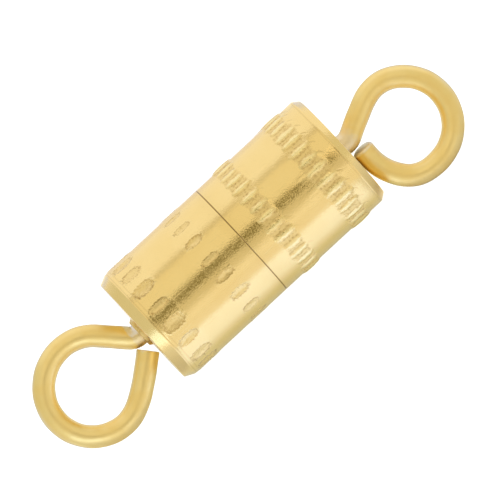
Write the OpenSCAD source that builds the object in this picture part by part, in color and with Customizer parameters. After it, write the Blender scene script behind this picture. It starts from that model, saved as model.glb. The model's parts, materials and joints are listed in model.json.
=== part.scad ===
// Barrel screw clasp for a necklace: two halves that screw together, each with a wire eye that swivels.
// It lies shut on a flat surface, with the rim of one eye beside the barrel as its third point of support.

/* [Barrel] */
// Outer diameter of both barrel halves
barrel_d = 4; // [3.9:0.1:4.6]
// Length of one half, from its end face to the seam
half_len = 4.045; // [3.9:0.05:4.6]
// Gap that shows as the seam line when the clasp is shut
seam_gap = 0.03; // [0.02:0.01:0.05]
// Thickness of the closed end of each half
end_wall = 0.6; // [0.5:0.05:0.7]
// Length of the chamfer at the end of the socket half
socket_chamfer = 0.32; // [0.2:0.02:0.4]
// Length of the chamfer at the end of the screw half
screw_chamfer = 0.21; // [0.15:0.01:0.4]
// Depth of both chamfers along the radius
chamfer_depth = 0.15; // [0.1:0.01:0.25]
// Height of the raised lip round the eye hole of the socket half
lip_h = 0.12; // [0.06:0.02:0.14]

/* [Knurled bands] */
// Distance from the seam to the middle of the first band
band_1 = 1.0; // [0.8:0.05:1.3]
// Distance from the seam to the middle of the second band
band_2 = 3.03; // [2.6:0.01:3.1]
// Width of a band at its foot
band_w = 0.78; // [0.7:0.02:0.9]
// Height of a band above the barrel
band_h = 0.054; // [0.04:0.002:0.08]
// Number of ridges round a band
ridges = 32; // [28:1:36]
// Turn of the first ridge from the side that faces up, in degrees
ridge_phase = 1.1; // [0:0.1:10]

/* [Dents] */
// Distance from the seam to the middle of the ring of dents beside the seam
dent_ring_1 = 1.14; // [0.9:0.02:1.4]
// Distance from the seam to the middle of the ring of dents near the end
dent_ring_2 = 3.21; // [2.7:0.01:3.25]
// Length and width of the dents beside the seam
dent_1_size = [0.62, 0.28]; // [0.2:0.01:0.8]
// Length and width of the dents near the end
dent_2_size = [0.73, 0.36]; // [0.2:0.01:0.8]
// Depth of a dent
dent_depth = 0.045; // [0.03:0.005:0.06]
// Number of dents round a ring
dents = 18; // [14:1:20]
// Turn of the first dent from the side that faces up, in degrees
dent_phase = 13.7; // [0:0.1:20]

/* [Thread] */
// Pitch of the right-hand thread
pitch = 0.5; // [0.4:0.05:0.5]
// Outer diameter of the male thread
thread_d = 2.92; // [2.86:0.02:2.98]
// Depth of the male thread
thread_depth = 0.29; // [0.24:0.01:0.3]
// Clearance between the threads, along the radius
thread_clear = 0.06; // [0.05:0.01:0.07]
// Length of the post that stands out of the screw half
post_len = 2.6; // [2:0.1:2.6]
// Length of the post's plain root inside the screw half
post_root = 1.7; // [1.2:0.1:1.8]
// Diameter of the hole through the post
post_bore = 1.6; // [1.4:0.1:1.7]

/* [Wire eyes] */
// Diameter of the wire
wire_d = 0.7; // [0.64:0.02:0.74]
// Radial play of a stem in its hole
stem_clear = 0.045; // [0.03:0.005:0.06]
// Diameter of the head that holds an eye in its half
head_d = 1.3; // [1.1:0.05:1.35]
// Thickness of that head
head_h = 0.35; // [0.25:0.05:0.4]
// Socket eye: radius of the loop along the middle of the wire
socket_loop_r = 1.495; // [1.4:0.005:1.6]
// Socket eye: distance from the barrel's end to the loop's centre
socket_loop_x = 2.18; // [2.1:0.01:2.4]
// Socket eye: how far the loop's centre is off the barrel's axis
socket_loop_side = 0.195; // [0.1:0.005:0.3]
// Socket eye: radius of the bend at the foot of the stem
socket_bend_r = 0.4; // [0.38:0.01:0.5]
// Socket eye: where the round of the loop ends, in degrees from straight out
socket_loop_end = -130; // [-135:1:-125]
// Socket eye: length of the straight end of the wire
socket_end_len = 1.18; // [0.8:0.02:1.18]
// Screw eye: radius of the loop along the middle of the wire
screw_loop_r = 1.45; // [1.3:0.005:1.5]
// Screw eye: distance from the barrel's end to the loop's centre
screw_loop_x = 1.84; // [1.84:0.01:2.2]
// Screw eye: how far the loop's centre is off the barrel's axis
screw_loop_side = 0.815; // [0.7:0.005:0.9]
// Screw eye: radius of the bend at the foot of the stem
screw_bend_r = 0.6; // [0.5:0.01:0.7]
// Screw eye: where the round of the loop ends, in degrees from straight out
screw_loop_end = -180; // [-190:1:-170]
// Screw eye: length of the straight end of the wire
screw_end_len = 0.38; // [0.2:0.02:0.4]

/* [Hidden] */
$fn = 96;

gold = [0.87, 0.71, 0.38];
brass = [0.80, 0.64, 0.34];
wire_gold = [0.86, 0.69, 0.33];

barrel_r = barrel_d / 2;
mouth_x = seam_gap / 2;
end_x = mouth_x + half_len;
floor_x = end_x - end_wall;
band_r = barrel_r + band_h;
wire_r = wire_d / 2;
stem_hole_r = wire_r + stem_clear;
eps = 0.05;

// Both threads are cut to the same helix, so the halves mesh at every turn.
thread_r = thread_d / 2;
core_r = thread_r - thread_depth;
socket_bore_r = core_r + thread_clear;
post_root_r = thread_r;
root_gap = 0.01;
flank = tan(30);
crest_w = pitch / 8;
axial_clear = 0.03;
thread_steps = 32;
tip_bevel = 0.1;
undercut = 0.04;
rib_sink = 0.03;
rib_half_w = crest_w / 2 + (thread_depth + rib_sink) * flank;
thread_start = -post_len + tip_bevel + rib_half_w;
thread_end = -rib_half_w - undercut;
socket_thread_start = thread_start - pitch;
socket_thread_end = 0.35;
mouth_bevel = 0.12;
chamber_r = 0.9;
lip_foot_w = 0.13;
lip_rim_w = 0.05;

// Bends are a hair thinner than the straight wire, so that they seat inside its ends.
bend_wire_r = wire_r - 0.004;
seat_len = 0.03;
head_play = 0.03;
stem_start = floor_x - head_play - head_h;
bend_start = end_x + lip_h + 0.02;

// The clasp is rolled about its axis until the rim of the screw eye meets the surface.
loop_reach = screw_loop_side + screw_loop_r;
roll = asin((band_r - wire_r) / loop_reach);
low_x = -(end_x + socket_loop_x + socket_loop_r + wire_r);
high_x = end_x + screw_loop_x + screw_loop_r + wire_r;
mid_x = (low_x + high_x) / 2;

// Stands the clasp in its own frame: X towards the screw half, Z up, origin under its middle.
module placed() {
    translate([-mid_x, 0, band_r]) rotate([roll, 0, 0]) children();
}

// A solid turned about the X axis from an outline of [x, radius] points.
module turned(outline) {
    rotate([0, 90, 0]) rotate_extrude() polygon([for (p = outline) [p[1], p[0]]]);
}

module rod(x0, x1, r) {
    translate([x0, 0, 0]) rotate([0, 90, 0]) cylinder(h = x1 - x0, r = r);
}

// Copies round the X axis, the first one turned by phase from the side that faces up.
module round_axis(count, phase) {
    for (i = [0:count - 1]) rotate([phase + 360 * i / count, 0, 0]) children();
}

// How much of the thread's full height stands at step i of n: it starts low and rises over a third of a turn.
function thread_fade(i, n) = max(0.2, min(1, 3 * i / thread_steps, 3 * (n - i) / thread_steps));

// One cross-section of the helical rib: foot, crest, crest, foot.
function rib_section(i, n, x0, foot_r, foot_w, top_r, top_w) =
    let (turn = 360 * i / thread_steps,
         x = x0 + pitch * i / thread_steps,
         r = foot_r + (top_r - foot_r) * thread_fade(i, n))
    [for (c = [[-foot_w / 2, foot_r], [-top_w / 2, r], [top_w / 2, r], [foot_w / 2, foot_r]])
        [x + c[0], c[1] * cos(turn), c[1] * sin(turn)]];

// A right-hand helical rib from x0 to x1 that widens from its crest to its foot at the thread's flank angle.
module helical_rib(x0, x1, foot_r, top_r, top_w) {
    n = ceil((x1 - x0) / pitch * thread_steps);
    foot_w = top_w + 2 * (top_r - foot_r) * flank;
    points = [for (i = [0:n]) each rib_section(i, n, x0, foot_r, foot_w, top_r, top_w)];
    sides = [for (i = [0:n - 1], k = [0:3])
        let (a = 4 * i + k, b = 4 * i + (k + 1) % 4)
        [a, b, b + 4, a + 4]];
    ends = [[3, 2, 1, 0], [for (k = [0:3]) 4 * n + k]];
    polyhedron(points, concat(sides, ends), convexity = 10);
}

// A shallow oval dent in the barrel, cut by the outside of a ring.
module dent_cutter(size) {
    along_r = pow(size[0] / 2, 2) / (2 * dent_depth);
    across_r = pow(size[1] / 2, 2) / (2 * dent_depth);
    translate([0, 0, barrel_r + along_r - dent_depth]) rotate([90, 0, 0])
        rotate_extrude() translate([along_r - across_r, 0]) circle(across_r);
}

// The outside of one half as [x, radius] points, from its mouth to its chamfered end.
function half_outline(chamfer) =
    [[mouth_x, 0], [mouth_x, barrel_r], [end_x - chamfer, barrel_r],
     [end_x, barrel_r - chamfer_depth], [end_x, 0]];

// A raised band with sloping shoulders, centred at x.
module band(x) {
    shoulder = 2 * band_h;
    turned([[x - band_w / 2, barrel_r - eps], [x - band_w / 2, barrel_r],
            [x - band_w / 2 + shoulder, band_r], [x + band_w / 2 - shoulder, band_r],
            [x + band_w / 2, barrel_r], [x + band_w / 2, barrel_r - eps]]);
}

// The grooves that part a band into ridges. They stop just short of the plain barrel.
module band_grooves(x) {
    groove_r = 0.15;
    groove_floor = barrel_r + 0.005;
    round_axis(ridges, ridge_phase + 180 / ridges)
        translate([0, 0, groove_floor + groove_r]) rod(x - band_w / 2, x + band_w / 2, groove_r);
}

module socket_half() {
    color(gold) placed() difference() {
        union() {
            mirror([1, 0, 0]) turned(half_outline(socket_chamfer));
            mirror([1, 0, 0]) eye_lip();
        }
        rod(-floor_x, eps, socket_bore_r);
        rod(-end_x - lip_h - eps, -floor_x + eps, stem_hole_r);
        mouth_cone();
        helical_rib(socket_thread_start, socket_thread_end, socket_bore_r - eps,
                    thread_r + thread_clear, crest_w + 2 * axial_clear - 2 * thread_clear * flank);
        round_axis(dents, dent_phase) {
            translate([-mouth_x - dent_ring_1, 0, 0]) dent_cutter(dent_1_size);
            translate([-mouth_x - dent_ring_2, 0, 0]) dent_cutter(dent_2_size);
        }
    }
}

// The small raised lip round the eye hole of the socket half, as left by closing the hole on the wire.
module eye_lip() {
    turned([[end_x - eps, 0], [end_x - eps, stem_hole_r + lip_foot_w], [end_x, stem_hole_r + lip_foot_w],
            [end_x + lip_h, stem_hole_r + lip_rim_w], [end_x + lip_h, 0]]);
}

// The bevel that leads the post into the socket. It opens at 45 degrees to a little more than the thread.
module mouth_cone() {
    bevel_r = thread_r + thread_clear + mouth_bevel / 4;
    turned([[-mouth_x - mouth_bevel, 0], [-mouth_x - mouth_bevel, bevel_r - mouth_bevel],
            [-mouth_x + eps, bevel_r + eps], [-mouth_x + eps, 0]]);
}

module screw_half() {
    color(gold) placed() difference() {
        union() {
            turned(half_outline(screw_chamfer));
            for (x = [band_1, band_2]) band(mouth_x + x);
        }
        rod(mouth_x - eps, post_root, post_root_r + root_gap);
        rod(post_root - eps, floor_x, chamber_r);
        rod(floor_x - eps, end_x + eps, stem_hole_r);
        for (x = [band_1, band_2]) band_grooves(mouth_x + x);
    }
}

// The hollow post: a threaded tube with a bevelled tip and a plain root held in the screw half.
module threaded_post() {
    color(brass) placed() difference() {
        union() {
            turned([[-post_len, 0], [-post_len, core_r - tip_bevel], [-post_len + tip_bevel, core_r],
                    [mouth_x, core_r], [mouth_x, post_root_r], [post_root - root_gap, post_root_r],
                    [post_root - root_gap, 0]]);
            helical_rib(thread_start, thread_end, core_r - rib_sink, thread_r, crest_w);
        }
        rod(-post_len - eps, post_root + eps, post_bore / 2);
    }
}

// An eye with its stem along +X: head, stem, bend, straight, loop and free end, all in the XY plane.
module eye(loop_x, loop_side, loop_r, bend_r, loop_end, end_len) {
    centre = [end_x + loop_x, -loop_side];
    run = [centre[0] - bend_start, centre[1] - bend_r];
    rise = asin((bend_r + loop_r) / norm(run)) + atan2(run[1], run[0]);
    straight = sqrt(pow(norm(run), 2) - pow(bend_r + loop_r, 2));
    bend_seat = seat_len / bend_r * 180 / PI;
    loop_seat = seat_len / loop_r * 180 / PI;
    rod(stem_start, stem_start + head_h, head_d / 2);
    rod(stem_start + head_h - eps, bend_start, wire_r);
    translate([bend_start, bend_r, 0]) rotate([0, 0, -90 - bend_seat])
        wire_arc(bend_r, rise + 2 * bend_seat);
    translate([bend_start + bend_r * sin(rise), bend_r * (1 - cos(rise)), 0]) rotate([0, 0, rise])
        rod(0, straight, wire_r);
    translate([centre[0], centre[1], 0]) rotate([0, 0, loop_end - loop_seat])
        wire_arc(loop_r, 90 + rise - loop_end + 2 * loop_seat);
    translate([centre[0] + loop_r * cos(loop_end), centre[1] + loop_r * sin(loop_end), 0])
        rotate([0, 0, loop_end - 90]) rod(0, end_len, wire_r);
}

module wire_arc(r, angle) {
    rotate_extrude(angle = angle) translate([r, 0]) circle(bend_wire_r);
}

module socket_eye() {
    color(wire_gold) placed() mirror([1, 0, 0])
        eye(socket_loop_x, socket_loop_side, socket_loop_r, socket_bend_r, socket_loop_end, socket_end_len);
}

module screw_eye() {
    color(wire_gold) placed()
        eye(screw_loop_x, screw_loop_side, screw_loop_r, screw_bend_r, screw_loop_end, screw_end_len);
}

socket_half();
screw_half();
threaded_post();
socket_eye();
screw_eye();
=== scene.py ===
# A barrel screw clasp in gold-plated brass: two halves that screw together, each with a swivelling wire eye.
import json
import math

import bpy
import numpy as np
from mathutils import Matrix, Vector


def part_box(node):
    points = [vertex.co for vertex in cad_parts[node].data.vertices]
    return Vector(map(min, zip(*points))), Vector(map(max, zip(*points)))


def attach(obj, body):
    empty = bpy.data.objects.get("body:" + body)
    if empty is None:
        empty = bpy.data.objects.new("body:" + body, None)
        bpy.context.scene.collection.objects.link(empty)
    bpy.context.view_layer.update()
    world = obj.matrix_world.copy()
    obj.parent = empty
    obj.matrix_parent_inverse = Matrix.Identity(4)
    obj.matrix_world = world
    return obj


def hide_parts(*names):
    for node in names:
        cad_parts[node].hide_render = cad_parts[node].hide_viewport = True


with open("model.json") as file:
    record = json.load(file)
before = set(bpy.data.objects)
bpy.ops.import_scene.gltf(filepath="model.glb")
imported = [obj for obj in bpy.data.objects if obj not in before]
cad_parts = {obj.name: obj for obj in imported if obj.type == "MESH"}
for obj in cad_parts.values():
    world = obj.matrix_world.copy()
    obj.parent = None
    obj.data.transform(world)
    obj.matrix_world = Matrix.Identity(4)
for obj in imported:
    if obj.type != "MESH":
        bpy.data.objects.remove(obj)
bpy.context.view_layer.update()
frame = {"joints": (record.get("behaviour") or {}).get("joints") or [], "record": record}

MM = 0.001
FULL_TURN = 2 * math.pi


# Frame
# The clasp's own directions are X along the barrel, Y in the plane of both eyes, and Z out of that plane,
# towards the camera. They are measured in mm from the seam, on the barrel's axis. The clasp is rolled about X
# as it rests. All sizes below are in mm unless their comment gives another unit.
def mm_box(node):
    """The lowest and highest corner of a CAD node, in mm."""
    low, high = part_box(node)
    return low / MM, high / MM


JOINTS = {joint["name"]: joint for joint in frame["joints"]}
MOUNTS = {mount["name"]: mount for mount in frame["record"]["mounts"]}
SOCKET_BOX = mm_box("socket_half")
SCREW_BOX = mm_box("screw_half")
AXIS_Z = JOINTS["unscrew"]["pos_m"][2] / MM
SEAM_X = (SOCKET_BOX[1].x + SCREW_BOX[0].x) / 2
MOUTH_X = (SCREW_BOX[0].x - SOCKET_BOX[1].x) / 2
END_X = SCREW_BOX[1].x - SEAM_X
LIP_X = SEAM_X - SOCKET_BOX[0].x
BARREL_R = (SOCKET_BOX[1].z - SOCKET_BOX[0].z) / 2
BAND_R = (SCREW_BOX[1].z - SCREW_BOX[0].z) / 2
EYE_PLANE = MOUNTS["screw_eye_loop"]["axis"]
SIN_ROLL = -EYE_PLANE[1]
COS_ROLL = EYE_PLANE[2]


def turned_to_row(points):
    """Directions of the clasp as directions of the row frame."""
    x, y, z = np.moveaxis(np.asarray(points, float), -1, 0)
    return np.stack([x, y * COS_ROLL - z * SIN_ROLL, y * SIN_ROLL + z * COS_ROLL], axis=-1)


def to_row(points):
    """Points of the clasp, in mm, as points of the row frame, in metres."""
    return (turned_to_row(points) + (SEAM_X, 0, AXIS_Z)) * MM


def loop_centre(mount):
    """Where an eye's loop is centred: its distance from the seam, and how far it is off the barrel's axis."""
    x, y, z = (value / MM for value in MOUNTS[mount]["pos_m"])
    return abs(x - SEAM_X), y * COS_ROLL + (z - AXIS_Z) * SIN_ROLL


# Curves and unevenness
RIPPLE_WAVES = 6


def smooth(t):
    """0 below 0, 1 above 1, and an even S between."""
    t = np.clip(t, 0, 1)
    return t * t * (3 - 2 * t)


def bell(distance, width):
    """1 where distance is 0, and next to nothing from twice the width."""
    return np.exp(-(distance / width) ** 2)


def fade_in(value, start, over):
    """0 up to start, and an even S from there to 1."""
    return smooth((value - start) / over)


def fade_out(value, end, over):
    """An even S down to 0 at end, and 0 from there on."""
    return smooth((end - value) / over)


def between(value, start, end, run_in, run_out):
    """1 between start and end, with an even S down to 0 inside each of them."""
    return fade_in(value, start, run_in) * fade_out(value, end, run_out)


def ripple(*coordinates, seed, size):
    """Smooth unevenness of about +-1 over coordinates in mm: a few waves of lengths near size."""
    draw = np.random.default_rng(seed)
    total = 0
    for _ in range(RIPPLE_WAVES):
        way = draw.normal(size=len(coordinates)) * FULL_TURN / size
        total = total + np.sin(sum(w * c for w, c in zip(way, coordinates)) + draw.uniform(0, FULL_TURN))
    return total / (RIPPLE_WAVES / 2)


def barrel_ripple(x, turn, seed, size):
    """Unevenness of the barrel's wall, with no jump where the turn starts again."""
    return ripple(x, BARREL_R * np.cos(turn), BARREL_R * np.sin(turn), seed=seed, size=size)


def patchy(x, turn, seed, share, size):
    """A factor from 1 down to 1 less twice the share, in patches over the barrel's wall."""
    return 1 - share + share * barrel_ripple(x, turn, seed, size)


# Meshes
def add_mesh(name, points, faces, layers):
    """A smooth mesh object from points of the clasp in mm, with its faces turned outwards. Each layer holds a
    value for every point, which the materials read."""
    triangles = [face[:3] for face in faces] + [face[:1] + face[2:] for face in faces if len(face) > 3]
    a, b, c = points[np.transpose(triangles)]
    volume = np.einsum("ij,ij->i", a, np.cross(b, c)).sum()
    if volume < 0:
        faces = [face[::-1] for face in faces]
    mesh = bpy.data.meshes.new(name)
    mesh.from_pydata(to_row(points).tolist(), [], faces)
    for layer, values in layers.items():
        attribute = mesh.attributes.new(layer, "FLOAT", "POINT")
        attribute.data.foreach_set("value", np.asarray(values, np.float32).ravel())
    mesh.shade_smooth()
    mesh.validate()
    piece = bpy.data.objects.new(name, mesh)
    bpy.context.scene.collection.objects.link(piece)
    return piece


def grid_faces(rows, columns, closed_rows):
    """Quads of a grid whose columns run round a ring, and whose rows also close if closed_rows is true."""
    faces = []
    for i in range(rows if closed_rows else rows - 1):
        a, b = i * columns, (i + 1) % rows * columns
        for j in range(columns):
            k = (j + 1) % columns
            faces.append([a + j, a + k, b + k, b + j])
    return faces


def add_turned(name, outline, columns, relief, side):
    """A body turned about the barrel's axis from a closed outline of [x, radius], with relief added to its
    radius. side is 1 for the half along +X and -1 for the other."""
    x, r = (np.repeat(outline[:, k, None], columns, axis=1) for k in range(2))
    turn = np.repeat(np.arange(columns)[None, :] * FULL_TURN / columns, len(outline), axis=0)
    height, layers = relief(x, r, turn)
    r = r + height
    points = np.stack([side * x, -r * np.sin(turn), r * np.cos(turn)], axis=-1).reshape(-1, 3)
    return add_mesh(name, points, grid_faces(len(outline), columns, True), layers)


# Outlines
# How far a rounded edge reaches from its corner, the same at the barrel's mouth, and how far beyond it the
# next point keeps the face flat.
EDGE = 0.02
MOUTH_EDGE = 0.022
FACE_EDGE = 0.012


def corner(before, at, after, edge, sharp):
    """A corner of an outline as a few points on a small curve, with one more on each side that keeps the
    faces flat. A sharp corner is only two points, which cut it short."""
    before, at, after = (np.array(p, float) for p in (before, at, after))
    into = (before - at) / np.linalg.norm(before - at)
    away = (after - at) / np.linalg.norm(after - at)
    if sharp:
        return [at + into * edge, at + away * edge]
    curve = [at + into * edge * (1 - t) ** 2 + away * edge * t ** 2 for t in (0, 1 / 3, 2 / 3, 1)]
    return [at + into * (edge + FACE_EDGE), *curve, at + away * (edge + FACE_EDGE)]


def outline_of(corners, sharp, stretches, at_mouth=()):
    """A closed outline. Corners whose number is in sharp are cut short, those in at_mouth have the mouth's
    edge, and the points in stretches[k] follow corner k."""
    points = []
    for k, at in enumerate(corners):
        edge = MOUTH_EDGE if k in at_mouth else EDGE
        points += corner(corners[k - 1], at, corners[(k + 1) % len(corners)], edge, k in sharp)
        points += [np.array(p, float) for p in stretches.get(k, [])]
    return np.array(points)


def stations(start, end, zones, fine, coarse):
    """Places between start and end: fine steps inside the zones, which are (from, to), and coarse steps
    outside."""
    places = []
    edges = sorted({start, end, *(min(max(edge, start), end) for zone in zones for edge in zone)})
    for a, b in zip(edges, edges[1:]):
        step = fine if any(low <= (a + b) / 2 <= high for low, high in zones) else coarse
        count = max(1, round((b - a) / step))
        places += list(np.linspace(a, b, count, endpoint=False))
    return places[1:]


# Barrel
BARREL_COLUMNS = 576
CHAMFER_DEPTH = 0.15
SOCKET_CHAMFER = 0.32
SCREW_CHAMFER = 0.21
END_WALL = 0.6
FLOOR_X = END_X - END_WALL
WIRE_R = 0.35
STEM_CLEAR = 0.045
HOLE_R = WIRE_R + STEM_CLEAR
WALL_TOLERANCE = 0.001

# The visible seam is narrower than the CAD one and lies a little towards the socket half.
SEAM_GAP = 0.0016
SEAM_SHIFT = -0.04
SCREW_MOUTH_X = SEAM_GAP / 2 + SEAM_SHIFT
SOCKET_MOUTH_X = SEAM_GAP / 2 - SEAM_SHIFT
MOUTH_GRIME = 1.50
MOUTH_GRIME_WIDTH = 0.020
MOUTH_GRIME_DEPTH = 0.05

# Fine lines turned beside the chamfers, each as (distance from the chamfer, strength).
SCREW_LINES = [(0.045, 1.0)]
SOCKET_LINES = [(0.042, 1.0), (0.150, 0.7)]
LINE_WIDTH = 0.012
LINE_DEPTH = 0.009
SCREW_LINE_ZONE = 0.085


def on_wall(r, radius):
    """Where an outline's radius is this one."""
    return np.abs(r - radius) < WALL_TOLERANCE


def turned_lines(x, r, chamfer, lines):
    """Where the fine lines beside a half's chamfer are."""
    chamfer_x = END_X - chamfer
    found = sum(strength * bell(x - (chamfer_x - off), LINE_WIDTH) for off, strength in lines)
    return on_wall(r, BARREL_R) * found


def mouth_line(x, r, mouth_x):
    """Where a half's mouth is dark with grime."""
    return MOUTH_GRIME * (r > BARREL_R - MOUTH_GRIME_DEPTH) * bell(x - mouth_x, MOUTH_GRIME_WIDTH)


# Thread
PITCH = 0.5
THREAD_R = 1.46
CORE_R = 1.17
THREAD_START = -2.284
THREAD_CLEAR = 0.06
AXIAL_CLEAR = 0.03
CREST_HALF = PITCH / 16
FLANK = math.tan(math.radians(30))
ROOT_ROUND = 0.03
POST_TIP = -2.6
POST_ROOT = 1.69
POST_BORE_R = 0.8
SOCKET_R = CORE_R + THREAD_CLEAR
CHAMBER_R = 0.9
SEAT_CLEAR = 0.01


def thread_height(x, turn, depth, widen):
    """Height of a right-hand rib over its foot. widen is added to each side of its crest."""
    phase = (x - THREAD_START) / PITCH - (turn + FULL_TURN / 4) / FULL_TURN
    off = np.abs(phase - np.round(phase)) * PITCH
    rise = depth - np.maximum(off - CREST_HALF - widen, 0) / FLANK
    return np.where(rise > 0, np.sqrt(rise ** 2 + ROOT_ROUND ** 2) - ROOT_ROUND, 0)


# Knurled bands of the screw half
# Each band is (distance from the seam, half length of its ridges, how strongly the tool marked the wall past
# their ends).
BANDS = [(0.985, 0.36, 0.35), (2.99, 0.39, 1.0)]
BAND_SEED = 40
BAND_WIDTH = 0.80
BAND_PAST = 0.16
BAND_HEIGHT = BAND_R - BARREL_R
BAND_STEPS = {"fine": 0.024, "coarse": 0.3}

# The foot of a band and the tops of its ridges have heights that are shares of the band's own.
FOOT_HEIGHT = 0.12
FOOT_SLOPE = 0.16
RIDGE_HEIGHT = 0.97

# A ridge fills a share of its spacing, and narrows by a share towards its ends. Part of its profile is round,
# with its top reached at a share of the rise, and the rest is pointed. Along its length its height is a power
# of a cosine, and its hollows and grime fade over a share of its end.
RIDGES = 32
RIDGE_PHASE = math.radians(-0.2)
RIDGE_FILL = 0.92
RIDGE_TAPER = 0.45
RIDGE_ROUND = 0.35
ROUND_REACH = 0.85
RIDGE_POWER = 0.6
RIDGE_END = 0.3

# Usual errors of single ridges: place as a share of their spacing, shift along the barrel in mm, and length,
# height and width as shares. The error of place has a limit. A ridge also sways from side to side.
RIDGE_ERRORS = (0.05, 0.018, 0.06, 0.10, 0.14)
MOST_OFF_PLACE = 0.07
RIDGE_SWAY = 0.05
RIDGE_GRAIN = 0.0030

# The tool's mark past a ridge: where it starts, as a share of the ridge's half length, how long and deep it
# is in mm, how far it curves and how wide it is, as shares of the ridges' spacing, and its usual strength.
MARK_START = 0.92
MARK_LENGTH = 0.20
MARK_DEPTH = 0.007
MARK_OFF = 0.02
MARK_CURVE = 0.42
MARK_POWER = 1.6
MARK_WIDTH = 0.055
MARK_STRENGTH = 0.6
MARK_STRENGTH_ERROR = 0.35

# The looks of a ridge: a dark line at its foot, dirt and painted shade, off its middle by a share of the
# ridges' spacing, a wall between the ridges that is this hollow, and dirt in the tool's mark.
FOOT_LINE_OFF = 0.43
FOOT_LINE_WIDTH = 0.07
RIDGE_HOLLOW = 0.7
MARK_GRIME = 0.7


def band_relief(x, turn, centre, half_length, run_out, seed):
    """Height of one raised band of spindle-shaped ridges, and where it is hollow, where it is darkened by
    dirt and painted shade, and where it is paler by wear and a painted highlight. Each ridge has its own
    small error of place, length and height, and past its end the tool has left a curved mark."""
    draw = np.random.default_rng(seed)
    phase = (turn - RIDGE_PHASE) * RIDGES / FULL_TURN
    number = np.round(phase).astype(int)
    ridge_of = number % RIDGES
    place, shift, longer, lower, thinner = (draw.normal(0, size, RIDGES)[ridge_of] for size in RIDGE_ERRORS)
    place = np.clip(place, -MOST_OFF_PLACE, MOST_OFF_PLACE)
    length = half_length * (1 + longer)
    tall, wide = 1 - np.abs(lower), 1 - np.abs(thinner)
    along = np.clip(np.abs(x - centre - shift) / length, 0, 1)
    spindle = np.cos(math.pi / 2 * along) ** RIDGE_POWER
    across = phase - number - place + RIDGE_SWAY * barrel_ripple(x, turn, seed + 20, size=0.25)
    off = np.abs(across / (RIDGE_FILL * wide * (1 - RIDGE_TAPER + RIDGE_TAPER * spindle)))
    rise = 1 - 2 * off
    ridge = (1 - RIDGE_ROUND) * np.clip(rise, 0, 1) + RIDGE_ROUND * smooth(rise / ROUND_REACH)
    ridge = ridge * spindle * tall
    foot = FOOT_HEIGHT * BAND_HEIGHT * fade_out(np.abs(x - centre), BAND_WIDTH / 2, FOOT_SLOPE)
    inside = fade_out(along, 1, RIDGE_END)
    grain = RIDGE_GRAIN * barrel_ripple(x, turn, seed + 30, size=0.09) * (1 - ridge) * inside
    foot_line = bell(off - FOOT_LINE_OFF, FOOT_LINE_WIDTH) * patchy(x, turn, seed, share=0.5, size=0.15)
    tail = (x - centre - MARK_START * length) / MARK_LENGTH
    strength = np.clip(draw.normal(MARK_STRENGTH, MARK_STRENGTH_ERROR, RIDGES), 0, 1)[ridge_of]
    mark = bell(across - MARK_OFF - MARK_CURVE * np.clip(tail, 0, 1) ** MARK_POWER, MARK_WIDTH)
    mark = mark * run_out * strength * between(tail, 0, 1, run_in=0.2, run_out=0.3)
    height = foot + (RIDGE_HEIGHT * BAND_HEIGHT - foot) * ridge + grain - MARK_DEPTH * mark
    # The wall between the ridges is darkened in the material: painted shade as well as dirt.
    hollow = RIDGE_HOLLOW * fade_out(ridge, end=0.60, over=0.5) * inside
    # The dark line at each ridge's foot is painted shade as well as dirt.
    grime_and_shade = np.maximum(foot_line * inside, MARK_GRIME * mark)
    # Paler crests: wear and a painted highlight.
    wear_and_highlight = fade_in(ridge, start=0.28, over=0.40) * patchy(x, turn, seed + 40, share=0.25, size=0.12)
    return height, hollow, grime_and_shade, wear_and_highlight


def screw_relief(x, r, turn):
    """Height of the screw half's bands and lines, and where it is hollow, darkened by dirt and painted shade,
    and paler by wear and a painted highlight.
    """
    found = np.zeros((4, *r.shape))
    for seed, (centre, half_length, run_out) in enumerate(BANDS, BAND_SEED):
        near = on_wall(r, BARREL_R) & (np.abs(x - centre - BAND_PAST / 2) < (BAND_WIDTH + BAND_PAST) / 2)
        band = band_relief(x, turn, centre, half_length, run_out, seed)
        found[:, near] = np.stack(band)[:, near]
    height, hollow, grime_and_shade, wear_and_highlight = found
    lines = turned_lines(x, r, SCREW_CHAMFER, SCREW_LINES)
    grime_and_shade = np.maximum(np.maximum(grime_and_shade, lines), mouth_line(x, r, SCREW_MOUTH_X))
    return height - LINE_DEPTH * lines, {"hollow": hollow, "grime_and_shade": grime_and_shade, "wear_and_highlight": wear_and_highlight}


def screw_half():
    chamfer_x = END_X - SCREW_CHAMFER
    seat_r = THREAD_R + SEAT_CLEAR
    corners = [(SCREW_MOUTH_X, seat_r), (SCREW_MOUTH_X, BARREL_R), (chamfer_x, BARREL_R),
               (END_X, BARREL_R - CHAMFER_DEPTH), (END_X, HOLE_R), (FLOOR_X, HOLE_R),
               (FLOOR_X, CHAMBER_R), (POST_ROOT, CHAMBER_R), (POST_ROOT, seat_r)]
    wall_start = SCREW_MOUTH_X + MOUTH_EDGE + FACE_EDGE
    wall_end = chamfer_x - EDGE - FACE_EDGE
    zones = [(centre - BAND_WIDTH / 2, centre + BAND_WIDTH / 2 + BAND_PAST) for centre, _, _ in BANDS]
    zones.append((chamfer_x - SCREW_LINE_ZONE, wall_end))
    wall = [(x, BARREL_R) for x in stations(wall_start, wall_end, zones, **BAND_STEPS)]
    outline = outline_of(corners, sharp={0, 5, 6, 7, 8}, stretches={1: wall}, at_mouth={1})
    return add_turned("screw_half_shell", outline, BARREL_COLUMNS, screw_relief, 1)


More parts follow.
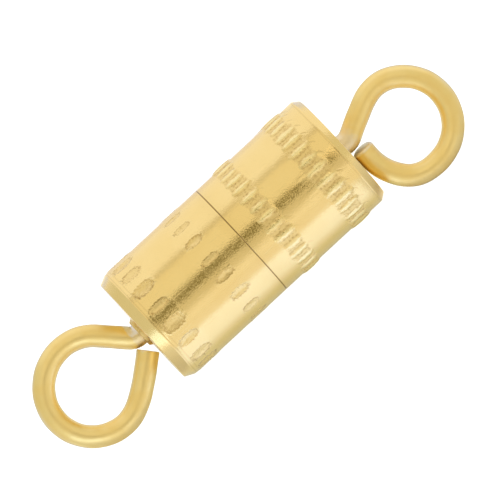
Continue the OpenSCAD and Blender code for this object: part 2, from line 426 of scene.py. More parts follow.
# Dents of the socket half
# Each ring of dents is (distance from the seam, half length and half width of a dent, height of its lip).
DENT_RINGS = [(1.150, 0.305, 0.130, 0.010), (3.200, 0.360, 0.185, 0.020)]
RING_SEED = 60
RING_PAST = 0.16
DENTS = 18
DENT_PHASE = math.radians(13.4)
DENT_DEPTH = 0.028
DENT_POWER = 2.4
DENT_UNEVEN = 0.12
DENT_GRAIN = 0.0040
GRAIN_STRETCH = 2
DENT_HOLLOW = 0.5
RING_STEPS = {"fine": 0.026, "coarse": 0.35}

# Usual errors of single dents: place round the barrel and shift along it in mm, and depth, length and width
# as shares. Each dent is also deeper on one side, by up to a share of its depth.
DENT_ERRORS = (0.022, 0.012, 0.18, 0.04, 0.10)
MOST_LEAN = 0.5

# The lip round a dent: this far out from the dent's middle, where the dent's edge is at 1. Part of the ring's
# wall is raised with it.
DENT_LIP_OUT = 1.14
DENT_LIP_WIDTH = 0.10
DENT_LIP_SHARE = 0.65
# How much of the pale colour of wear and painted highlight the dent's lip takes.
DENT_LIP_WEAR_HIGHLIGHT = 0.35

# The dark outline of a dent, dirt and painted shade at its rim, as far out in the same way, with its strength
# and how much it varies.
OUTLINE_OUT = 0.95
OUTLINE_WIDTH = 0.13
OUTLINE_SHADE_AND_GRIME = 0.80
OUTLINE_VARIES = 0.45

# The lip round the socket half's eye hole: its width at its foot and at its top, and how dull it is, which
# also gives it the darker colour of the hollows.
LIP_FOOT = 0.13
LIP_TOP = 0.055
LIP_DULL = 0.8
LIP_DULL_R = HOLE_R + 0.15

# The socket's bore: its bevelled mouth, and the stretch with a thread.
MOUTH_CLEAR = 0.03
MOUTH_BEVEL = 0.12
BORE_THREAD = (0.14, 3.05)
BORE_STEPS = {"fine": 0.06, "coarse": 0.2}


def dent_relief(x, turn, centre, half_length, half_width, rim, seed):
    """Height of one ring of oval dents, each uneven in its own way, and where it is hollow, darkened by dirt
    and painted shade, and paler by wear and a painted highlight. The tool pushed up a lip round each dent.
    out is 0 in the middle of a dent and 1 at its edge."""
    draw = np.random.default_rng(seed)
    step = FULL_TURN / DENTS
    number = np.round((turn - DENT_PHASE) / step).astype(int) % DENTS
    place, shift, flatter, longer, wider = (draw.normal(0, size, DENTS)[number] for size in DENT_ERRORS)
    across = ((turn - DENT_PHASE + step / 2) % step - step / 2) * BARREL_R - place
    across = across / (half_width * (1 + wider))
    along = (x - centre - shift) / (half_length * (1 + longer))
    lean = draw.uniform(-MOST_LEAN, MOST_LEAN, DENTS)[number] * np.clip(across, -1, 1)
    out = (np.abs(along) ** DENT_POWER + np.abs(across) ** DENT_POWER) ** (1 / DENT_POWER)
    out = out * (1 + DENT_UNEVEN * barrel_ripple(x, turn, seed + 7, size=0.20))
    bowl = DENT_DEPTH * (1 - np.abs(flatter)) * fade_out(out, end=1.04, over=1) * (1 + lean)
    lip = bell(out - DENT_LIP_OUT, DENT_LIP_WIDTH) * patchy(x, turn, seed + 9, share=0.35, size=0.16)
    grain = DENT_GRAIN * barrel_ripple(x / GRAIN_STRETCH, turn, seed + 11, size=0.085)
    grain = grain * fade_out(out, end=0.95, over=0.25)
    height = DENT_LIP_SHARE * rim * lip + (1 - DENT_LIP_SHARE) * rim - bowl + grain
    # A dent's inside is darkened in the material: painted shade as well as dirt.
    hollow = DENT_HOLLOW * fade_out(out, end=1.03, over=0.36)
    # The dark outline is painted shade at the dent's rim as well as dirt, darker on the side where the dent
    # is deeper.
    strength = OUTLINE_SHADE_AND_GRIME + lean + OUTLINE_VARIES * barrel_ripple(x, turn, seed + 13, size=0.12)
    return height, hollow, bell(out - OUTLINE_OUT, OUTLINE_WIDTH) * strength, DENT_LIP_WEAR_HIGHLIGHT * lip


def socket_relief(x, r, turn):
    """Height of the socket half's dents, lines and inner thread, and where it is hollow, darkened by dirt and
    painted shade, and paler by wear and a painted highlight.
    """
    found = np.zeros((4, *r.shape))
    for seed, (centre, half_length, half_width, rim) in enumerate(DENT_RINGS, RING_SEED):
        reach = half_length + RING_PAST - np.abs(x - centre)
        near = on_wall(r, BARREL_R) & (reach > 0)
        ring = dent_relief(x, turn, centre, half_length, half_width, rim, seed)
        found[:, near] = (np.stack(ring) * smooth(reach / RING_PAST))[:, near]
    height, hollow, grime_and_shade, wear_and_highlight = found
    lines = turned_lines(x, r, SOCKET_CHAMFER, SOCKET_LINES)
    depth = THREAD_R + THREAD_CLEAR - SOCKET_R
    groove = thread_height(-x, turn, depth, AXIAL_CLEAR - THREAD_CLEAR * FLANK)
    groove = groove * on_wall(r, SOCKET_R) * between(x, *BORE_THREAD, run_in=0.12, run_out=0.2)
    dull_lip = LIP_DULL * ((x > END_X - WALL_TOLERANCE) & (r < LIP_DULL_R))
    hollow = np.maximum(hollow, dull_lip)
    grime_and_shade = np.maximum(np.maximum(grime_and_shade, lines), mouth_line(x, r, SOCKET_MOUTH_X))
    return height + groove - LINE_DEPTH * lines, {"hollow": hollow, "grime_and_shade": grime_and_shade, "wear_and_highlight": wear_and_highlight}


def socket_half():
    chamfer_x = END_X - SOCKET_CHAMFER
    mouth_r = THREAD_R + THREAD_CLEAR + MOUTH_CLEAR
    bevel_x = MOUTH_X + MOUTH_BEVEL
    corners = [(SOCKET_MOUTH_X, mouth_r), (SOCKET_MOUTH_X, BARREL_R), (chamfer_x, BARREL_R),
               (END_X, BARREL_R - CHAMFER_DEPTH), (END_X, HOLE_R + LIP_FOOT), (LIP_X, HOLE_R + LIP_TOP),
               (LIP_X, HOLE_R), (FLOOR_X, HOLE_R), (FLOOR_X, SOCKET_R), (bevel_x, SOCKET_R),
               (bevel_x, mouth_r - MOUTH_BEVEL)]
    wall_start = SOCKET_MOUTH_X + MOUTH_EDGE + FACE_EDGE
    wall_end = chamfer_x - EDGE - FACE_EDGE
    zones = [(centre - half_length - RING_PAST, centre + half_length + RING_PAST)
             for centre, half_length, _, _ in DENT_RINGS]
    zones.append((zones[-1][1], wall_end))
    wall = [(x, BARREL_R) for x in stations(wall_start, wall_end, zones, **RING_STEPS)]
    bore = [(x, SOCKET_R) for x in stations(bevel_x + EDGE, FLOOR_X - EDGE, [BORE_THREAD], **BORE_STEPS)]
    outline = outline_of(corners, sharp={0, 4, 7, 8, 9, 10}, stretches={1: wall, 8: bore[::-1]}, at_mouth={1})
    return add_turned("socket_half_shell", outline, BARREL_COLUMNS, socket_relief, -1)


# Threaded post
POST_COLUMNS = 192
POST_BEVEL = 0.1
POST_THREAD = (POST_TIP + 0.14, -0.06)
POST_ZONE = (-2.48, 0)
POST_STEPS = {"fine": 0.026, "coarse": 0.05}


def post_relief(x, r, turn):
    """Height of the post's thread, and how deep in its root a point is."""
    rib = thread_height(x, turn, THREAD_R - CORE_R, 0)
    height = on_wall(r, CORE_R) * between(x, *POST_THREAD, run_in=0.25, run_out=0.2) * rib
    return height, {"hollow": 1 - height / (THREAD_R - CORE_R)}


def threaded_post():
    corners = [(POST_TIP, POST_BORE_R), (POST_TIP, CORE_R - POST_BEVEL), (POST_TIP + POST_BEVEL, CORE_R),
               (MOUTH_X, CORE_R), (MOUTH_X, THREAD_R), (POST_ROOT, THREAD_R), (POST_ROOT, POST_BORE_R)]
    thread_x = stations(POST_TIP + POST_BEVEL + EDGE, MOUTH_X - EDGE, [POST_ZONE], **POST_STEPS)
    outline = outline_of(corners, sharp={3, 4, 5, 6}, stretches={2: [(x, CORE_R) for x in thread_x]})
    return add_turned("threaded_post_shell", outline, POST_COLUMNS, post_relief, 1)


# Wire eyes
WIRE_COLUMNS = 56
RING_STEP = 0.045
HEAD_R = 0.65
HEAD_H = 0.35
HEAD_GAP = 0.03
BEND_GAP = 0.02
STEM_START = FLOOR_X - HEAD_GAP - HEAD_H
BEND_START = LIP_X + BEND_GAP

# The CAD wire is this much thinner in its bends, and the mounts have the radius of the hole in its loop.
BEND_THINNING = 0.004

# The head as (distance from its face, radius).
HEAD_RINGS = [(0, 0.60), (0.02, HEAD_R - 0.02), (0.05, HEAD_R), (HEAD_H - 0.05, HEAD_R),
              (HEAD_H - 0.02, HEAD_R - 0.02), (HEAD_H - 0.001, 0.60), (HEAD_H, WIRE_R + 0.03)]

# Where a loop is out of round, as (degrees round it, mm outwards, width in degrees).
SOCKET_BENDS = [(-119, -0.055, 22), (-30, 0.027, 48), (66, -0.033, 46)]
SCREW_BENDS = [(-121, 0.070, 24), (-20, -0.036, 50), (75, 0.027, 20), (114, -0.030, 16)]

# The wire's thickness wavers by this much, over this length, until a small gap before its cut end. That is a
# rounded edge, through these angles in degrees, round a face that is partly bare.
WIRE_WAVER = 0.003
WAVER_SIZE = 1.4
WAVER_SEED = 3
CUT_GAP = 0.01
CUT_ANGLES = (0, 22, 45, 68, 90)
CUT_INSET = 0.018
CUT_BARE = 0.45
SCREW_TIP_LIFT = 0.13
SCREW_LIFT_LENGTH = 0.9

# The stretches of stem with missing or thin plating, as distances from the seam, how much of it is missing on
# the socket eye's lower side and all round the screw eye's, and the Y that only the stem is above there.
SOCKET_BARE = (4.05, 4.47)
SCREW_BARE = (3.9, 4.70)
BARE_BELOW = 0.25
SCREW_BARENESS = 0.45
STEM_LOW_Y = -0.5

# How ragged the edges of these stretches are, and how much the socket eye's outer edge slants.
SOCKET_RAGGED = 0.02
SCREW_RAGGED = 0.05
BARE_SLANT = 0.08


def polar(radius, degrees):
    """The step of this length in this direction of the eye's plane."""
    return radius * np.array([math.cos(math.radians(degrees)), math.sin(math.radians(degrees))])


def arc(centre, radius, start, end):
    """Points on an arc about centre, angles in degrees, with its end left out."""
    count = max(3, round(abs(math.radians(end - start)) * radius / RING_STEP))
    angles = np.linspace(start, end, count, endpoint=False)
    return np.array([centre + polar(radius, angle) for angle in angles])


def straight(a, b):
    """Points from a to b, with b left out."""
    count = max(2, round(math.dist(a, b) / RING_STEP))
    return np.linspace(a, b, count, endpoint=False)


def bent_by_hand(route, centre, bends):
    """A route pushed in or out where its loop is out of round."""
    away = route - centre
    angle = np.degrees(np.arctan2(away[:, 1], away[:, 0]))
    push = sum(outwards * bell((angle - at + 180) % 360 - 180, width) for at, outwards, width in bends)
    return route + away / np.linalg.norm(away, axis=1)[:, None] * push[:, None]


def eye_route(mount, bend_r, loop_end, end_len, bends):
    """The middle of the wire from the back of its head to its cut end, in the plane of the eye: the stem, a
    bend up from it, a straight, the loop to the angle loop_end, and a straight end."""
    loop_r = MOUNTS[mount]["dims"]["r_mm"] + WIRE_R - BEND_THINNING
    loop = np.array(loop_centre(mount))
    bend = np.array([BEND_START, bend_r])
    run = loop - bend
    length = math.sqrt(run @ run - (bend_r + loop_r) ** 2)
    rise = math.degrees(math.asin((bend_r + loop_r) / math.hypot(*run)) + math.atan2(run[1], run[0]))
    bend_end = bend + polar(bend_r, rise - 90)
    last = loop + polar(loop_r, loop_end)
    tip = last + polar(end_len, loop_end - 90)
    route = np.concatenate([
        straight((STEM_START + HEAD_H, 0), (BEND_START, 0)),
        arc(bend, bend_r, -90, rise - 90),
        straight(bend_end, bend_end + polar(length, rise)),
        arc(loop, loop_r, 90 + rise, loop_end),
        straight(last, tip),
        [tip]])
    return bent_by_hand(route, loop, bends)


def tube(rings):
    """Points and faces of a tube through rings of points, with each end closed by a fan round its middle."""
    points = np.concatenate([*rings, [rings[0].mean(axis=0), rings[-1].mean(axis=0)]])
    middle = len(rings) * WIRE_COLUMNS
    last = middle - WIRE_COLUMNS
    sides = [(j, (j + 1) % WIRE_COLUMNS) for j in range(WIRE_COLUMNS)]
    faces = grid_faces(len(rings), WIRE_COLUMNS, False)
    faces += [[middle, k, j] for j, k in sides]
    faces += [[last + j, last + k, middle + 1] for j, k in sides]
    return points, faces


def add_eye(name, route, side, cut_edge, lift, bare):
    """A wire swept along a route, with a flat head at its start and a cut at its end whose edge has the
    radius cut_edge. lift raises the wire out of the eye's plane, by distance from its cut end, and bare says
    how much plating is missing at a point."""
    gaps = np.linalg.norm(np.diff(route, axis=0), axis=1)
    to_end = np.concatenate([np.cumsum(gaps[::-1])[::-1], [0]])
    centre = np.stack([route[:, 0], route[:, 1], lift(to_end)], axis=-1)
    tangent = np.gradient(centre, axis=0)
    tangent /= np.linalg.norm(tangent, axis=1)[:, None]
    up = np.array([0, 0, 1]) - tangent[:, 2:3] * tangent
    up /= np.linalg.norm(up, axis=1)[:, None]
    over = np.cross(up, tangent)
    angle = np.arange(WIRE_COLUMNS) * FULL_TURN / WIRE_COLUMNS
    round_over, round_up = np.cos(angle)[:, None], np.sin(angle)[:, None]

    def ring(k, radius, push=0.0):
        return centre[k] + tangent[k] * push + radius * (round_over * over[k] + round_up * up[k])

    rings = [ring(0, radius, off - HEAD_H) for off, radius in HEAD_RINGS]
    for k in np.flatnonzero(to_end > cut_edge + CUT_GAP):
        waver = float(ripple(to_end[k], seed=WAVER_SEED, size=WAVER_SIZE))
        rings.append(ring(k, WIRE_R + WIRE_WAVER * (waver - 1)))
    cut_start = (len(rings) + 1) * WIRE_COLUMNS
    for turn in np.radians(CUT_ANGLES):
        radius = WIRE_R - WIRE_WAVER - cut_edge * (1 - math.cos(turn))
        rings.append(ring(-1, radius, cut_edge * (math.sin(turn) - 1)))
    rings.append(ring(-1, WIRE_R - CUT_INSET - cut_edge))
    points, faces = tube(rings)
    points[:, 0] *= side
    cut = CUT_BARE * (np.arange(len(points)) >= cut_start)
    return add_mesh(name, points, faces, {"bare": np.maximum(bare(points), cut)})


def socket_bare(points):
    """The socket eye's stem has lost its plating beside the barrel, most of it on its upper side."""
    x, y, z = points.T
    edge = SOCKET_RAGGED * ripple(x, y, z, seed=21, size=0.25)
    start, end = SOCKET_BARE
    along = between(-x, start - edge, end - BARE_SLANT * y + edge, run_in=0.05, run_out=0.04)
    upper = fade_in(y + edge, start=0.02, over=0.08)
    return along * (BARE_BELOW + (1 - BARE_BELOW) * upper) * (y > STEM_LOW_Y)


def screw_bare(points):
    """The screw eye's stem is thinly plated where it leaves the barrel."""
    x, y, z = points.T
    edge = SCREW_RAGGED * ripple(x, y, z, seed=22, size=0.30)
    start, end = SCREW_BARE
    return SCREW_BARENESS * between(x, start, end + edge, run_in=0.1, run_out=0.35) * (y > STEM_LOW_Y)


def socket_eye():
    route = eye_route("socket_eye_loop", bend_r=0.4, loop_end=-130, end_len=1.25, bends=SOCKET_BENDS)
    return add_eye("socket_eye_wire", route, -1, cut_edge=0.03, lift=np.zeros_like, bare=socket_bare)


def screw_eye():
    def tip_lift(to_end):
        return SCREW_TIP_LIFT * np.clip(1 - to_end / SCREW_LIFT_LENGTH, 0, 1) ** 2

    route = eye_route("screw_eye_loop", bend_r=0.6, loop_end=-180, end_len=0.38, bends=SCREW_BENDS)
    return add_eye("screw_eye_wire", route, 1, cut_edge=0.09, lift=tip_lift, bare=screw_bare)


# Materials
class Nodes:
    """The nodes of a material or world, with short calls for the few kinds that are used here."""

    def __init__(self, owner, shader):
        owner.use_nodes = True
        self.owner = owner
        self.tree = owner.node_tree
        self.shader = self.tree.nodes[shader]

    def add(self, kind, **inputs):
        node = self.tree.nodes.new(kind)
        for name, value in inputs.items():
            self.set(node.inputs[name], value)
        return node

    def set(self, socket, value):
        if isinstance(value, bpy.types.NodeSocket):
            self.tree.links.new(value, socket)
        else:
            socket.default_value = value

    def math(self, operation, a, b=0.0):
        node = self.tree.nodes.new("ShaderNodeMath")
        node.operation = operation
        self.set(node.inputs[0], a)
        self.set(node.inputs[1], b)
        return node.outputs[0]

    def mix(self, amount, a, b):
        node = self.tree.nodes.new("ShaderNodeMix")
        node.data_type = "RGBA"
        self.set(node.inputs["Factor"], amount)
        self.set(node.inputs["A"], a)
        self.set(node.inputs["B"], b)
        return node.outputs["Result"]

    def tinted(self, colour, *tints):
        """A colour mixed with others in turn. Each tint is (where, share, the other colour)."""
        for where, share, other in tints:
            colour = self.mix(self.math("MULTIPLY", where, share), colour, other)
        return colour

    def raised(self, number, *parts):
        """A number with others added to it in places. Each part is (where, how much there)."""
        for where, rise in parts:
            number = self.math("ADD", self.math("MULTIPLY", where, rise), number)
        return number

    def place(self, stretch):
        """Object coordinates in mm, times stretch along each axis."""
        coordinates = self.add("ShaderNodeTexCoord").outputs["Object"]
        mapping = self.add("ShaderNodeMapping", Vector=coordinates)
        mapping.inputs["Scale"].default_value = [factor / MM for factor in stretch]
        return mapping.outputs["Vector"]

    def noise(self, per_mm, detail, roughness, distortion=0.0):
        """Noise with about per_mm features in each mm along each axis."""
        node = self.add("ShaderNodeTexNoise", Vector=self.place(per_mm), Scale=1.0, Detail=detail,
                        Roughness=roughness, Distortion=distortion)
        return node.outputs["Fac"]

    def ramp(self, value, low, high):
        """0 at low, 1 at high, and an even S between."""
        node = self.add("ShaderNodeMapRange", Value=value)
        node.interpolation_type = "SMOOTHSTEP"
        node.inputs["From Min"].default_value = low
        node.inputs["From Max"].default_value = high
        return node.outputs["Result"]

    def bands(self, value, stops, whole):
        """Colours that change with value, from 0 to 1, as set by stops of (part of whole, colour)."""
        node = self.add("ShaderNodeValToRGB", Fac=value)
        elements = node.color_ramp.elements
        while len(elements) < len(stops):
            elements.new(1.0)
        for element, (part, colour) in zip(elements, stops):
            element.position = part / whole
            element.color = (*colour, 1)
        return node.outputs["Color"]

    def layer(self, name):
        """The values that a mesh holds for its points under this name."""
        node = self.add("ShaderNodeAttribute")
        node.attribute_name = name
        return node.outputs["Fac"]

    def bumps(self, *layers):
        """The surface with bumps on it. Each layer is (height from 0 to 1, its depth in mm)."""
        normal = None
        for height, depth in layers:
            node = self.add("ShaderNodeBump", Height=height, Strength=1.0, Distance=depth * MM)
            if normal is not None:
                self.set(node.inputs["Normal"], normal)
            normal = node.outputs["Normal"]
        return normal

    def finish(self, colour, roughness, normal):
        """The material, as a metal with this colour, roughness and surface."""
        self.set(self.shader.inputs["Base Color"], colour)
        self.set(self.shader.inputs["Roughness"], roughness)
        self.set(self.shader.inputs["Normal"], normal)
        self.shader.inputs["Metallic"].default_value = 1.0
        return self.owner


def new_material(name):
    return Nodes(bpy.data.materials.new(name), "Principled BSDF")


GOLD = (0.965, 0.745, 0.315, 1)
GOLD_DEEP = (0.93, 0.69, 0.26, 1)
# The colour of the hollows: painted shade as well as dirt.
GOLD_HOLLOW_SHADE = (0.84, 0.64, 0.26, 1)
# Pale colour of wear, also used as a painted highlight on the ridges' crests.
GOLD_WEAR_HIGHLIGHT = (1.0, 0.86, 0.42, 1)
# Tarnish, also the colour of the dark lines that are partly painted shade.
TARNISH_AND_SHADE = (0.50, 0.33, 0.11, 1)
WIRE_GOLD = (1.0, 0.78, 0.315, 1)
WIRE_DEEP = (0.97, 0.715, 0.24, 1)
WIRE_RIM = (0.60, 0.75, 1.0, 1)
BARE_METAL = (0.92, 0.89, 0.82, 1)
BRASS = (0.88, 0.68, 0.34, 1)
BRASS_DARK = (0.46, 0.31, 0.12, 1)
BARREL_ROUGHNESS = 0.05
WIRE_ROUGHNESS = 0.36
THREAD_ROUGHNESS = 0.20


def barrel_gold():
    """Satin gold plate: cloudy colour, fine turning lines round the barrel, light scratches and a speckled
    surface. It is duller and darker in its hollows, the darkness painted shade as well as dirt, where it is
    also pitted, and paler where it has wear and a painted highlight. Its dark lines are dirt and in part
    painted shade."""
    nodes = new_material("satin_gold_plate")
    hollow, grime_and_shade, wear_and_highlight = (nodes.layer(name) for name in ("hollow", "grime_and_shade", "wear_and_highlight"))
    cloud = nodes.ramp(nodes.noise((0.9, 0.9, 0.9), detail=4.0, roughness=0.55), low=0.38, high=0.66)
    spots = nodes.ramp(nodes.noise((9, 9, 9), detail=3.0, roughness=0.6), low=0.66, high=0.80)
    pits = nodes.ramp(nodes.noise((15, 13, 13), detail=1.0, roughness=0.6), low=0.52, high=0.66)
    streaks = nodes.noise((1.6, 34, 34), detail=2.0, roughness=0.5, distortion=0.4)
    scratch = nodes.ramp(streaks, low=0.66, high=0.80)
    turning = nodes.noise((60, 0.8, 0.8), detail=3.0, roughness=0.6)
    speckle = nodes.noise((30, 26, 26), detail=1.0, roughness=0.6)
    grain = nodes.ramp(speckle, low=0.42, high=0.62)
    # The hollow tint and the dark-line tint are partly painted shade, and the pale tint of wear is partly a
    # painted highlight.
    colour = nodes.tinted(
        GOLD, (cloud, 0.35, GOLD_DEEP), (hollow, 0.55, GOLD_HOLLOW_SHADE), (wear_and_highlight, 0.95, GOLD_WEAR_HIGHLIGHT),
        (grime_and_shade, 0.65, TARNISH_AND_SHADE), (spots, 0.18, TARNISH_AND_SHADE), (nodes.math("MULTIPLY", pits, hollow), 0.45, TARNISH_AND_SHADE))
    roughness = nodes.raised(BARREL_ROUGHNESS, (grain, 0.18), (hollow, 0.45), (wear_and_highlight, 0.18))
    normal = nodes.bumps((speckle, 0.0036), (turning, 0.0008), (scratch, -0.0018))
    return nodes.finish(colour, roughness, normal)


def wire_gold():
    """Polished gold plate on drawn wire, with a bluish gleam at its rims, missing in patches that show pale
    metal."""
    nodes = new_material("polished_gold_wire")
    bare = nodes.layer("bare")
    cloud = nodes.ramp(nodes.noise((1.3, 1.3, 1.3), detail=3.0, roughness=0.5), low=0.36, high=0.66)
    waver = nodes.noise((2.2, 2.2, 2.2), detail=2.0, roughness=0.5)
    speckle = nodes.noise((20, 20, 20), detail=2.0, roughness=0.6)
    colour = nodes.tinted(WIRE_GOLD, (cloud, 0.55, WIRE_DEEP), (bare, 1.0, BARE_METAL))
    roughness = nodes.raised(WIRE_ROUGHNESS, (cloud, 0.10))
    normal = nodes.bumps((waver, 0.012), (speckle, 0.0020))
    nodes.shader.inputs["Specular Tint"].default_value = WIRE_RIM
    return nodes.finish(colour, roughness, normal)


def thread_brass():
    """Turned brass, darker and duller in the roots of the thread."""
    nodes = new_material("turned_brass")
    hollow = nodes.layer("hollow")
    cloud = nodes.ramp(nodes.noise((2, 2, 2), detail=3.0, roughness=0.5), low=0.35, high=0.7)
    lines = nodes.noise((50, 1, 1), detail=3.0, roughness=0.6)
    colour = nodes.tinted(BRASS, (hollow, 0.45, BRASS_DARK), (cloud, 0.25, BRASS_DARK))
    roughness = nodes.raised(THREAD_ROUGHNESS, (hollow, 0.14))
    return nodes.finish(colour, roughness, nodes.bumps((lines, 0.0010)))


# Pieces
def add_piece(piece, material, body, node):
    """A piece with its material, on the body that it moves with, in the place of a CAD node."""
    piece.data.materials.append(material)
    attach(piece, body)
    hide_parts(node)


BARREL_GOLD = barrel_gold()
WIRE_MATERIAL = wire_gold()
add_piece(socket_half(), BARREL_GOLD, "socket_half", "socket_half")
add_piece(screw_half(), BARREL_GOLD, "screw_half", "screw_half")
add_piece(threaded_post(), thread_brass(), "screw_half", "threaded_post")
add_piece(socket_eye(), WIRE_MATERIAL, "socket_eye", "socket_eye")
add_piece(screw_eye(), WIRE_MATERIAL, "screw_eye", "screw_eye")


# Camera
# The frame and the seam's middle in it are in pixels, and the clipping distance is in metres.
FRAME_PX = 500
PX_PER_MM = 33.5
BARREL_ANGLE = math.radians(42.8)
END_TURN = math.radians(1.4)
SEAM_PX = (242.05, 238.97)
LENS = 1000
SENSOR = 36
CLIP_END = 5


def add_camera():
    """A long lens that looks almost straight at the eyes' plane, with the barrel rising to the right."""
    along = np.array([math.cos(END_TURN), 0, math.sin(END_TURN)])
    across = np.array([0, 1, 0])
    back = np.cross(along, across)
    right = math.cos(BARREL_ANGLE) * along - math.sin(BARREL_ANGLE) * across
    up = math.sin(BARREL_ANGLE) * along + math.cos(BARREL_ANGLE) * across
    off_right = (FRAME_PX / 2 - SEAM_PX[0]) / PX_PER_MM
    off_up = (SEAM_PX[1] - FRAME_PX / 2) / PX_PER_MM
    distance = LENS / SENSOR * FRAME_PX / PX_PER_MM
    place = Vector(to_row(off_right * right + off_up * up + distance * back))
    axes = Matrix([turned_to_row(axis) for axis in (right, up, back)])
    data = bpy.data.cameras.new("camera")
    data.lens = LENS
    data.sensor_width = SENSOR
    data.clip_start = MM
    data.clip_end = CLIP_END
    camera = bpy.data.objects.new("camera", data)
    camera.matrix_world = Matrix.Translation(place) @ axes.transposed().to_4x4()
    bpy.context.scene.collection.objects.link(camera)
    bpy.context.scene.camera = camera


add_camera()


# Tables
# The camera sees a plain white table. Just under it is the one that the clasp reflects, whose light changes
# with the distance from under the barrel's axis: each entry beside the barrel, and in front past its ends, is
# (distance, colour).
TABLE_SIZE = 1200
TABLE_DROP = 0.01
PLAIN_WHITE = 0.5
LIT_WHITE = 0.78
TABLE_REACH = 20
# Painted shade under the barrel and painted light beside it and past its ends, given off by the table.
TABLE_SHADE = (0.17, 0.22, 0.23)
TABLE_BESIDE = (0.45, 0.56, 0.98)
TABLE_FAR = (0.27, 0.24, 0.25)
TABLE_LIGHT = [(1.9, TABLE_SHADE), (3.0, TABLE_BESIDE), (7.0, TABLE_BESIDE), (9.0, TABLE_FAR)]
PAST_MIDDLE = (0.42, 0.43, 0.36)
PAST_EDGE = (0.05, 0.08, 0.16)
PAST_BESIDE = (0.13, 0.15, 0.23)
PAST_FAR = (0.26, 0.24, 0.22)
PAST_LIGHT = [(0.7, PAST_MIDDLE), (1.6, PAST_EDGE), (3.0, PAST_EDGE), (4.5, PAST_BESIDE), (7.0, PAST_BESIDE),
              (9.0, PAST_FAR)]

# Where the light past the ends starts, as distances from the clasp's middle, and where that behind the eyes
# starts, as distances from the middle and from under the axis.
PAST_ENDS = (3.9, 4.4)
EYES_FROM = (5.0, 6.4)
BEHIND_FROM = (-1.0, -0.3)
BEHIND_EYES = (0.16, 0.22, 0.50, 1)


def table_material(name, white):
    """A matt white surface that also gives off light of its own."""
    nodes = new_material(name)
    nodes.shader.inputs["Base Color"].default_value = (white, white, white, 1)
    nodes.shader.inputs["Roughness"].default_value = 0.9
    nodes.shader.inputs["Specular IOR Level"].default_value = 0.0
    nodes.shader.inputs["Emission Color"].default_value = (1, 1, 1, 1)
    nodes.shader.inputs["Emission Strength"].default_value = 1.0
    return nodes


def lit_table_material(name):
    """The table as the clasp reflects it, with its shade and light painted into the light it gives off: dark
    in the barrel's shade, bright and bluish beside it, and plain further out. Past the barrel's ends it is
    dimmer in front, and a dim blue behind the eyes."""
    nodes = table_material(name, LIT_WHITE)
    place = nodes.add("ShaderNodeSeparateXYZ", Vector=nodes.place((1, 1, 1))).outputs
    off_middle = nodes.math("ABSOLUTE", place["X"])
    off_axis = nodes.math("DIVIDE", nodes.math("ABSOLUTE", place["Y"]), TABLE_REACH)
    in_front = nodes.math("DIVIDE", place["Y"], -TABLE_REACH)
    behind = nodes.math("MULTIPLY", nodes.ramp(off_middle, *EYES_FROM), nodes.ramp(place["Y"], *BEHIND_FROM))
    beside = nodes.bands(off_axis, TABLE_LIGHT, TABLE_REACH)
    past = nodes.mix(behind, nodes.bands(in_front, PAST_LIGHT, TABLE_REACH), BEHIND_EYES)
    colour = nodes.mix(nodes.ramp(off_middle, *PAST_ENDS), beside, past)
    nodes.set(nodes.shader.inputs["Emission Color"], colour)
    return nodes


def add_table(name, height, material):
    """A level square under the clasp."""
    half = TABLE_SIZE / 2 * MM
    z = height * MM
    mesh = bpy.data.meshes.new(name)
    square = [(-half, -half, z), (half, -half, z), (half, half, z), (-half, half, z)]
    mesh.from_pydata(square, [], [(0, 1, 2, 3)])
    mesh.materials.append(material)
    table = bpy.data.objects.new(name, mesh)
    bpy.context.scene.collection.objects.link(table)
    return table


table_top = add_table("table_top", 0, table_material("white_table", PLAIN_WHITE).owner)
for rays in ("diffuse", "glossy", "transmission", "shadow"):
    setattr(table_top, "visible_" + rays, False)
table_light = add_table("table_light", -TABLE_DROP, lit_table_material("lit_table").owner)
table_light.visible_camera = False


# Lights
# Each wall of the tent is (degrees up from the horizon in front and over the top, colour). The reach of the
# side walls and of the front is where they start and are full, as a part of the way to that side, and the
# lens's edge is in degrees from its middle.
FRONT_WALL = (0.96, 0.91, 0.88)
LENS_WALL = (0.71, 0.65, 0.54)
LENS_SPOT = (0.26, 0.228, 0.12)
CEILING = (0.875, 0.81, 0.68)
CEILING_SEAM = (0.66, 0.60, 0.51)
BACK_WALL = (0.97, 0.945, 0.97)
TENT = [(0, FRONT_WALL), (9, FRONT_WALL), (17, LENS_WALL), (50, LENS_WALL), (53, CEILING), (90, CEILING),
        (94, CEILING_SEAM), (98, CEILING_SEAM), (103, BACK_WALL), (180, BACK_WALL)]
LEFT_WALL = (0.70, 0.69, 0.62)
RIGHT_WALL = (0.72, 0.69, 0.58)
SIDE_REACH = (0.15, 0.55)
FRONT_REACH = (0.2, -0.2)
LENS_ANGLE = 40.3
LENS_EDGE = (8.9, 9.6)
KEY_COLOUR = (0.44, 0.61, 1.0)
FILL_COLOUR = (1.0, 0.83, 0.64)


def sky_direction(elevation, azimuth):
    """A direction seen from the clasp, in degrees. Azimuth 0 is the camera's side, and 90 is along +X."""
    e, a = math.radians(elevation), math.radians(azimuth)
    return Vector((math.cos(e) * math.sin(a), -math.cos(e) * math.cos(a), math.sin(e)))


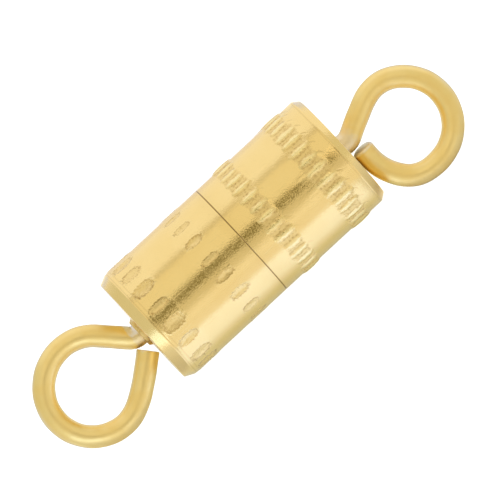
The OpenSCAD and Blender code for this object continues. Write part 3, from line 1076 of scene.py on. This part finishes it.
def add_soft_box(name, elevation, azimuth, width_deg, height_deg, colour, radiance, distance):
    """An area light, not seen by the camera, that spans these angles as seen from the clasp with an even
    radiance."""
    width, height = (2 * distance * MM * math.tan(math.radians(span / 2)) for span in (width_deg, height_deg))
    data = bpy.data.lights.new(name, "AREA")
    data.shape = "RECTANGLE"
    data.size = width
    data.size_y = height
    data.color = colour
    data.energy = radiance * math.pi * width * height
    light = bpy.data.objects.new(name, data)
    way = sky_direction(elevation, azimuth)
    turned = way.to_track_quat("Z", "Y").to_matrix().to_4x4()
    light.matrix_world = Matrix.Translation(way * distance * MM) @ turned
    light.visible_camera = False
    bpy.context.scene.collection.objects.link(light)


def add_light_tent():
    """A tent of soft light over the clasp. Its walls differ in brightness by their angle up from the horizon
    in front and over the top, they are plain at the left and the front right, and a dark lens looks in
    through the front."""
    world = bpy.data.worlds.new("light_tent")
    bpy.context.scene.world = world
    nodes = Nodes(world, "Background")
    way = nodes.add("ShaderNodeTexCoord").outputs["Generated"]
    split = nodes.add("ShaderNodeSeparateXYZ", Vector=way).outputs
    angle = nodes.math("ARCTAN2", split["Z"], nodes.math("MULTIPLY", split["Y"], -1.0))
    left, right = (nodes.ramp(nodes.math("MULTIPLY", split["X"], side), *SIDE_REACH) for side in (-1, 1))
    front = nodes.ramp(split["Y"], *FRONT_REACH)
    walls = nodes.bands(nodes.math("DIVIDE", angle, math.pi), TENT, 180)
    walls = nodes.mix(left, walls, (*LEFT_WALL, 1))
    walls = nodes.mix(nodes.math("MULTIPLY", right, front), walls, (*RIGHT_WALL, 1))
    towards = nodes.tree.nodes.new("ShaderNodeVectorMath")
    towards.operation = "DOT_PRODUCT"
    nodes.set(towards.inputs[0], way)
    towards.inputs[1].default_value = sky_direction(LENS_ANGLE, 0)
    off_lens = nodes.math("ARCCOSINE", towards.outputs["Value"])
    past_lens = nodes.ramp(off_lens, *(math.radians(edge) for edge in LENS_EDGE))
    nodes.set(nodes.shader.inputs["Color"], nodes.mix(past_lens, (*LENS_SPOT, 1), walls))


add_light_tent()
add_soft_box("key_box", elevation=4, azimuth=-42, width_deg=44, height_deg=31, colour=KEY_COLOUR,
             radiance=1.0, distance=20)
add_soft_box("lens_fill", elevation=45, azimuth=26, width_deg=14, height_deg=17, colour=FILL_COLOUR,
             radiance=0.34, distance=21)

bpy.context.scene.view_settings.view_transform = "Standard"
